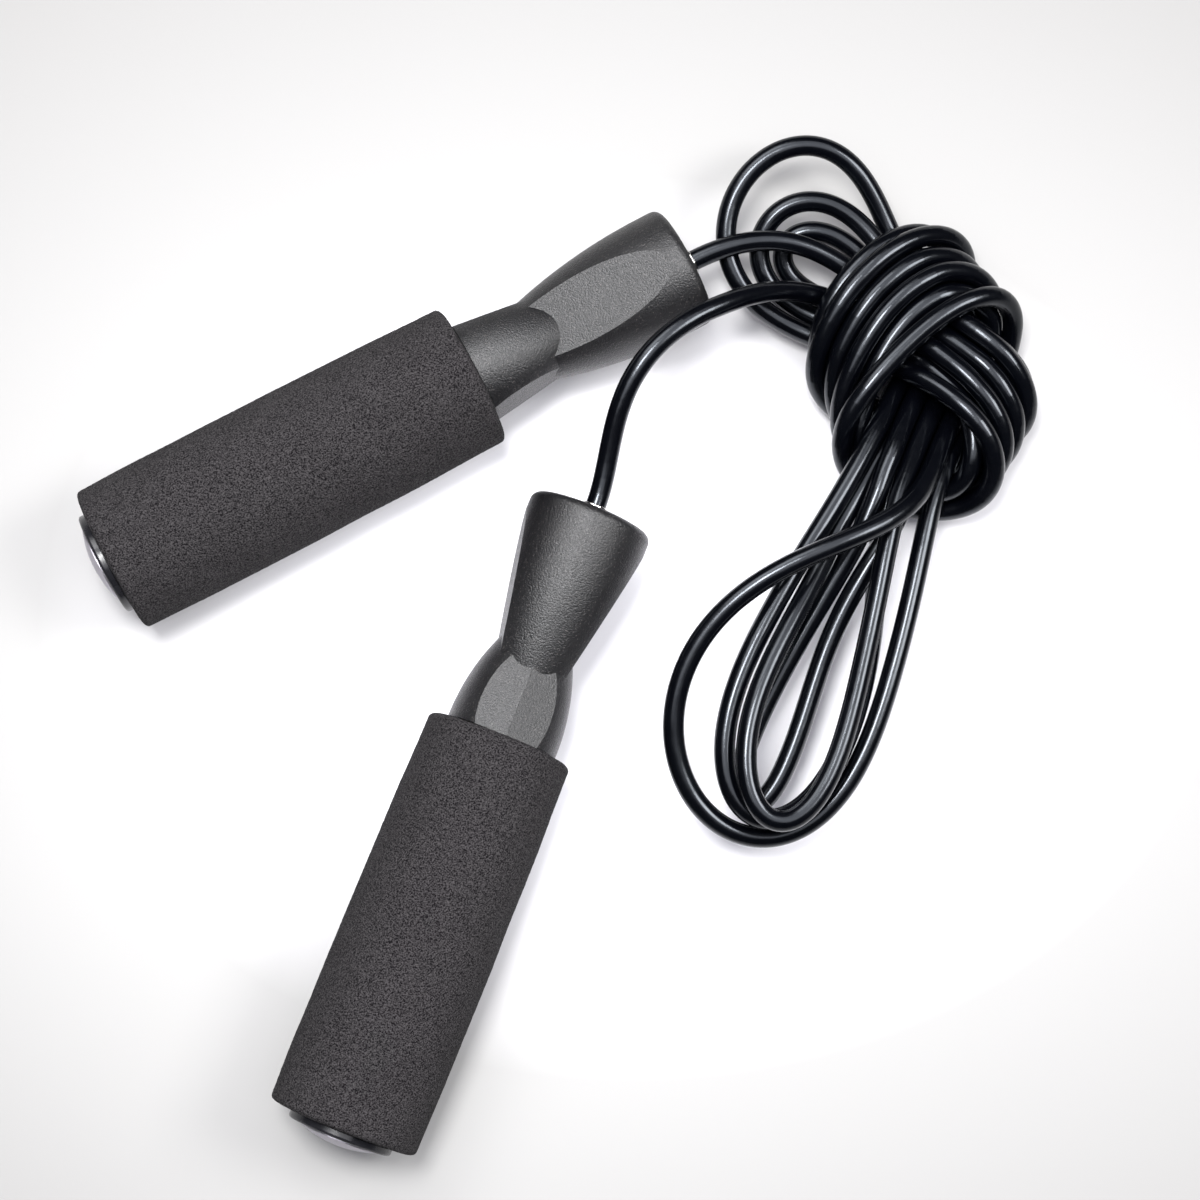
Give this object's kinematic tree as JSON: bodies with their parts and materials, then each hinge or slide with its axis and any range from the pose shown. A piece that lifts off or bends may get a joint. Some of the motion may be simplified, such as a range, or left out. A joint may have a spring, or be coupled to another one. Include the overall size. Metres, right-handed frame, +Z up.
{
  "type": "jump rope",
  "caption": "Jump rope with foam-gripped swivel handles and a long round cord folded into a hank and tied in a knot.",
  "frame": {"origin": "on the floor, under the centre of the bounding box of the rope as it lies", "axes": "+Z up from the floor; both handles lie along the floor with their heads towards +X and +Y, and the knotted hank lies on the +X side"},
  "size_m": [0.2306, 0.2448, 0.0386],
  "materials": {
    "cord_pvc": "glossy black PVC",
    "handle_plastic": "satin charcoal with a fine moulded grain",
    "grip_foam": "closed-cell foam, matte black",
    "cap_plastic": "gloss black",
    "badge_silver": "satin silver",
    "bearing_steel": "ground steel",
    "shield_steel": "pressed steel",
    "ball_steel": "polished steel",
    "cage_nylon": "natural nylon",
    "bush_nickel": "bright nickel plate",
    "washer_nylon": "white nylon",
    "stop_brass": "turned brass",
    "screw_steel": "blackened steel"
  },
  "bodies": {
    "rope": {"cord": "cord_pvc", "bearing_inner_ring_a": "bearing_steel", "cord_bush_a": "bush_nickel", "thrust_washer_a": "washer_nylon", "cord_stop_a": "stop_brass", "stop_screw_a": "screw_steel", "bearing_inner_ring_b": "bearing_steel", "cord_bush_b": "bush_nickel", "thrust_washer_b": "washer_nylon", "cord_stop_b": "stop_brass", "stop_screw_b": "screw_steel"},
    "handle_a": {"shell_left_a": "handle_plastic", "shell_right_a": "handle_plastic", "foam_grip_a": "grip_foam", "bearing_outer_ring_a": "bearing_steel", "bearing_shields_a": "shield_steel"},
    "ball_set_a": {"bearing_cage_a": "cage_nylon", "bearing_balls_a": "ball_steel"},
    "cap_a": {"end_cap_a": "cap_plastic", "cap_badge_a": "badge_silver"},
    "handle_b": {"shell_left_b": "handle_plastic", "shell_right_b": "handle_plastic", "foam_grip_b": "grip_foam", "bearing_outer_ring_b": "bearing_steel", "bearing_shields_b": "shield_steel"},
    "ball_set_b": {"bearing_cage_b": "cage_nylon", "bearing_balls_b": "ball_steel"},
    "cap_b": {"end_cap_b": "cap_plastic", "cap_badge_b": "badge_silver"}
  },
  "joints": [
    {"name": "handle_a_spin", "type": "hinge", "parent": "rope", "child": "handle_a", "pos_m": [-0.00425, 0.07186, 0.0185], "axis": [0.8838, 0.4679, 0], "continuous": true},
    {"name": "ball_set_a_turn", "type": "hinge", "parent": "rope", "child": "ball_set_a", "pos_m": [-0.00425, 0.07186, 0.0185], "axis": [0.8838, 0.4679, 0], "continuous": true},
    {"name": "cap_a_pull", "type": "slide", "parent": "handle_a", "child": "cap_a", "axis": [-0.8838, -0.4679, 0], "range_m": [0, 0.012]},
    {"name": "handle_b_spin", "type": "hinge", "parent": "rope", "child": "handle_b", "pos_m": [-0.00682, -0.00794, 0.02115], "axis": [0.3729, 0.9276, 0.0227], "continuous": true},
    {"name": "ball_set_b_turn", "type": "hinge", "parent": "rope", "child": "ball_set_b", "pos_m": [-0.00682, -0.00794, 0.02115], "axis": [0.3729, 0.9276, 0.0227], "continuous": true},
    {"name": "cap_b_pull", "type": "slide", "parent": "handle_b", "child": "cap_b", "axis": [-0.3729, -0.9276, -0.0227], "range_m": [0, 0.012]}
  ],
  "couplings": [
    {"joint": "ball_set_a_turn", "follows": "handle_a_spin", "ratio": 0.6036},
    {"joint": "ball_set_b_turn", "follows": "handle_b_spin", "ratio": 0.6036}
  ]
}
